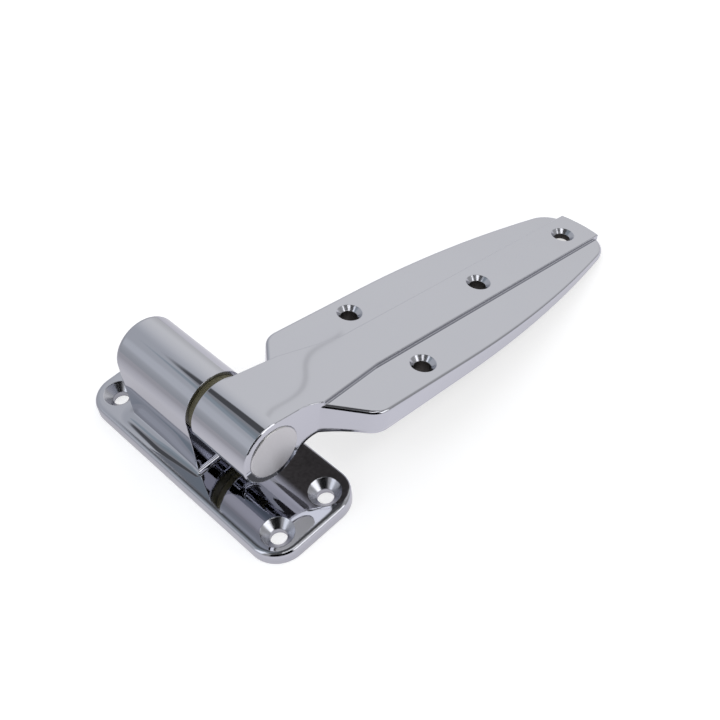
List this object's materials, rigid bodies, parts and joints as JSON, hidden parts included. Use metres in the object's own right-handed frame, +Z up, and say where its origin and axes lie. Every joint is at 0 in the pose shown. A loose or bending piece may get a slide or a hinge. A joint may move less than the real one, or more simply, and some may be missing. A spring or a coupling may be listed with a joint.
{
  "type": "cold room door hinge",
  "caption": "Offset strap hinge for a cold room door: a screw plate with a raised barrel and a long tapered strap that turns on a pin, in bright chromed castings.",
  "frame": {"origin": "middle of the base plate's underside, which is also the middle of its screw pattern", "axes": "+X from the base towards the tip of the strap, +Y along the hinge axis from the strap's knuckle to the base's barrel, +Z up from the base plate"},
  "size_m": [0.2119, 0.117, 0.0476],
  "materials": {
    "base_chrome": "polished bright chrome over a zinc casting",
    "pin_steel": "ground steel",
    "bush_nylon": "plain moulded nylon, olive yellow",
    "strap_chrome": "polished bright chrome over a zinc casting",
    "cap_chrome": "satin chrome, a little duller than the castings"
  },
  "bodies": {
    "base": {"base_flange": "base_chrome", "hinge_pin": "pin_steel"},
    "leaf": {"strap": "strap_chrome", "bearing_bush": "bush_nylon", "end_cap": "cap_chrome"}
  },
  "joints": [
    {"name": "strap_swing", "type": "hinge", "parent": "base", "child": "leaf", "pos_m": [0, 0, 0.0341], "axis": [0, -1, 0], "range_deg": [0, 190]}
  ]
}
